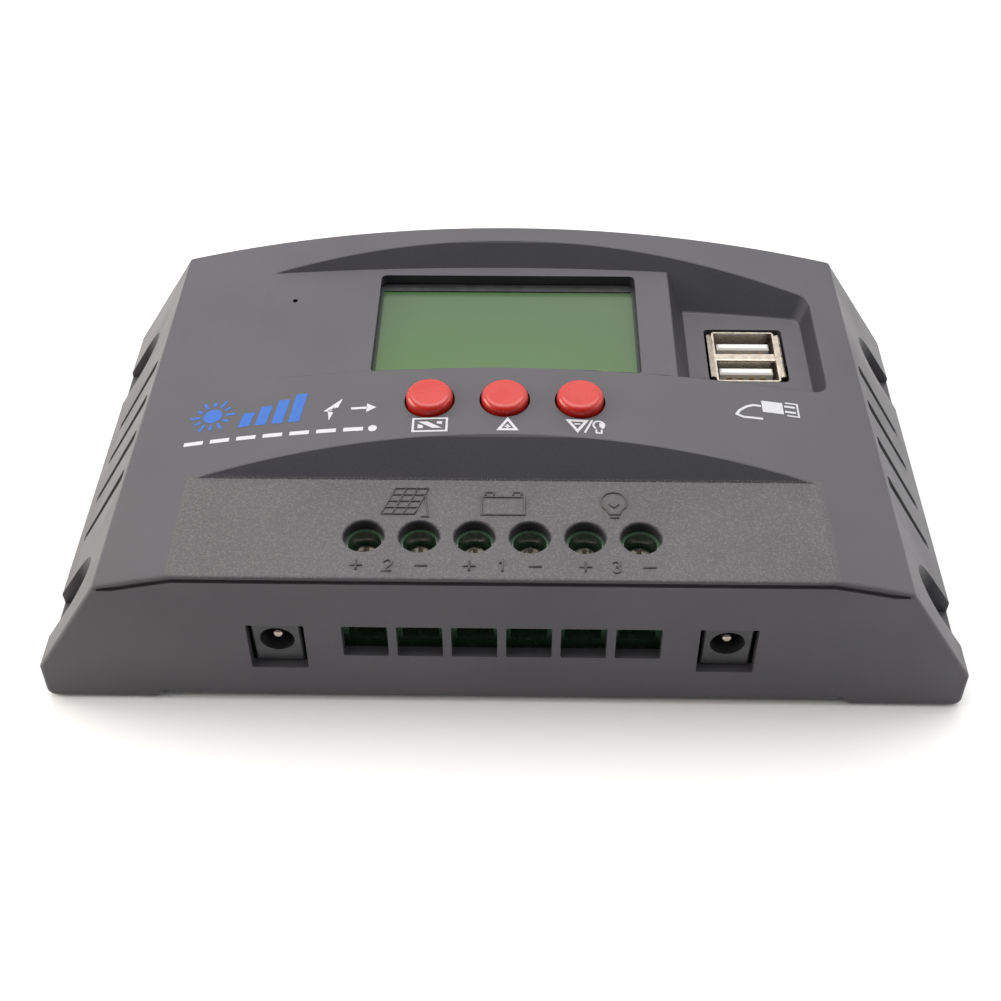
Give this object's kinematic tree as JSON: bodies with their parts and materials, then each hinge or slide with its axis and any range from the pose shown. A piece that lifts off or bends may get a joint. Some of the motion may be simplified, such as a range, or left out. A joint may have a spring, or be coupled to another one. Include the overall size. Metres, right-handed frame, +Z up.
{
  "type": "solar charge controller",
  "caption": "Low wall-mounted charge controller with a crowned case, green display, press buttons, clamp terminals, barrel jacks and a double USB socket.",
  "frame": {"origin": "centre of the outline at the underside", "axes": "+X to the right along the width, +Y from the terminal side to the back, +Z up out of the mounting surface"},
  "size_m": [0.174, 0.1027, 0.0393],
  "materials": {
    "case_plastic": "fine-textured dark grey",
    "cover_plastic": "dark grey",
    "screw_steel": "zinc plated",
    "board": "green solder mask",
    "black_plastic": "moulded",
    "gold": "gold plated",
    "lcd": "green tinted display glass",
    "backlight": "light guide",
    "foam": "foam",
    "terminal_green": "moulded green",
    "nickel": "nickel plated",
    "white_plastic": "moulded",
    "heat_aluminium": "extruded",
    "pad": "silicone",
    "ferrite": "coated ferrite",
    "copper": "enamelled copper",
    "sleeve": "sleeved can",
    "fuse_amber": "translucent amber",
    "button_red": "moulded red-orange"
  },
  "bodies": {
    "case": {"top_housing": "case_plastic", "rear_cover": "cover_plastic", "case_screws": "screw_steel", "board_screws": "screw_steel", "display_screws": "screw_steel", "main_board": "board", "display_board": "board", "header_body": "black_plastic", "header_pins": "gold", "lcd_glass": "lcd", "lcd_backlight": "backlight", "lcd_bezel": "black_plastic", "lcd_gasket": "foam", "tact_switches": "black_plastic", "terminal_block_1": "terminal_green", "terminal_block_2": "terminal_green", "terminal_block_3": "terminal_green", "terminal_contacts": "nickel", "dc_jack_left": "black_plastic", "dc_jack_right": "black_plastic", "dc_pin_left": "nickel", "dc_pin_right": "nickel", "jack_springs": "nickel", "usb_shell": "nickel", "usb_insulator": "white_plastic", "usb_contacts": "gold", "heat_sink": "heat_aluminium", "insulating_pad": "pad", "mosfet_tabs": "nickel", "mosfets": "black_plastic", "sink_screws": "screw_steel", "inductor_core": "ferrite", "inductor_winding": "copper", "capacitors": "sleeve", "fuse_holder": "black_plastic", "blade_fuse": "fuse_amber", "fuse_blades": "nickel", "control_chips": "black_plastic", "buzzer": "black_plastic"},
    "button_1": {"button_cap_1": "button_red", "switch_plunger_1": "black_plastic"},
    "button_2": {"button_cap_2": "button_red", "switch_plunger_2": "black_plastic"},
    "button_3": {"button_cap_3": "button_red", "switch_plunger_3": "black_plastic"},
    "screw_1": {"terminal_screw_1": "nickel"},
    "cage_1": {"clamp_cage_1": "screw_steel"},
    "screw_2": {"terminal_screw_2": "nickel"},
    "cage_2": {"clamp_cage_2": "screw_steel"},
    "screw_3": {"terminal_screw_3": "nickel"},
    "cage_3": {"clamp_cage_3": "screw_steel"},
    "screw_4": {"terminal_screw_4": "nickel"},
    "cage_4": {"clamp_cage_4": "screw_steel"},
    "screw_5": {"terminal_screw_5": "nickel"},
    "cage_5": {"clamp_cage_5": "screw_steel"},
    "screw_6": {"terminal_screw_6": "nickel"},
    "cage_6": {"clamp_cage_6": "screw_steel"}
  },
  "joints": [
    {"name": "button_1_press", "type": "slide", "parent": "case", "child": "button_1", "axis": [0, 0, -1], "range_m": [0, 0.0005], "stiffness_N_per_m": 400},
    {"name": "button_2_press", "type": "slide", "parent": "case", "child": "button_2", "axis": [0, 0, -1], "range_m": [0, 0.0005], "stiffness_N_per_m": 400},
    {"name": "button_3_press", "type": "slide", "parent": "case", "child": "button_3", "axis": [0, 0, -1], "range_m": [0, 0.0005], "stiffness_N_per_m": 400},
    {"name": "screw_1_turn", "type": "hinge", "parent": "case", "child": "screw_1", "pos_m": [-0.025, -0.0381, 0.0249], "axis": [0, 0, -1], "range_deg": [0, 1800]},
    {"name": "cage_1_rise", "type": "slide", "parent": "case", "child": "cage_1", "axis": [0, 0, 1], "range_m": [0, 0.0035]},
    {"name": "screw_2_turn", "type": "hinge", "parent": "case", "child": "screw_2", "pos_m": [-0.015, -0.0381, 0.0249], "axis": [0, 0, -1], "range_deg": [0, 1800]},
    {"name": "cage_2_rise", "type": "slide", "parent": "case", "child": "cage_2", "axis": [0, 0, 1], "range_m": [0, 0.0035]},
    {"name": "screw_3_turn", "type": "hinge", "parent": "case", "child": "screw_3", "pos_m": [-0.005, -0.0381, 0.0249], "axis": [0, 0, -1], "range_deg": [0, 1800]},
    {"name": "cage_3_rise", "type": "slide", "parent": "case", "child": "cage_3", "axis": [0, 0, 1], "range_m": [0, 0.0035]},
    {"name": "screw_4_turn", "type": "hinge", "parent": "case", "child": "screw_4", "pos_m": [0.005, -0.0381, 0.0249], "axis": [0, 0, -1], "range_deg": [0, 1800]},
    {"name": "cage_4_rise", "type": "slide", "parent": "case", "child": "cage_4", "axis": [0, 0, 1], "range_m": [0, 0.0035]},
    {"name": "screw_5_turn", "type": "hinge", "parent": "case", "child": "screw_5", "pos_m": [0.015, -0.0381, 0.0249], "axis": [0, 0, -1], "range_deg": [0, 1800]},
    {"name": "cage_5_rise", "type": "slide", "parent": "case", "child": "cage_5", "axis": [0, 0, 1], "range_m": [0, 0.0035]},
    {"name": "screw_6_turn", "type": "hinge", "parent": "case", "child": "screw_6", "pos_m": [0.025, -0.0381, 0.0249], "axis": [0, 0, -1], "range_deg": [0, 1800]},
    {"name": "cage_6_rise", "type": "slide", "parent": "case", "child": "cage_6", "axis": [0, 0, 1], "range_m": [0, 0.0035]}
  ],
  "couplings": [
    {"joint": "screw_1_turn", "follows": "cage_1_rise", "rad_per_m": 8975.9},
    {"joint": "screw_2_turn", "follows": "cage_2_rise", "rad_per_m": 8975.9},
    {"joint": "screw_3_turn", "follows": "cage_3_rise", "rad_per_m": 8975.9},
    {"joint": "screw_4_turn", "follows": "cage_4_rise", "rad_per_m": 8975.9},
    {"joint": "screw_5_turn", "follows": "cage_5_rise", "rad_per_m": 8975.9},
    {"joint": "screw_6_turn", "follows": "cage_6_rise", "rad_per_m": 8975.9}
  ]
}
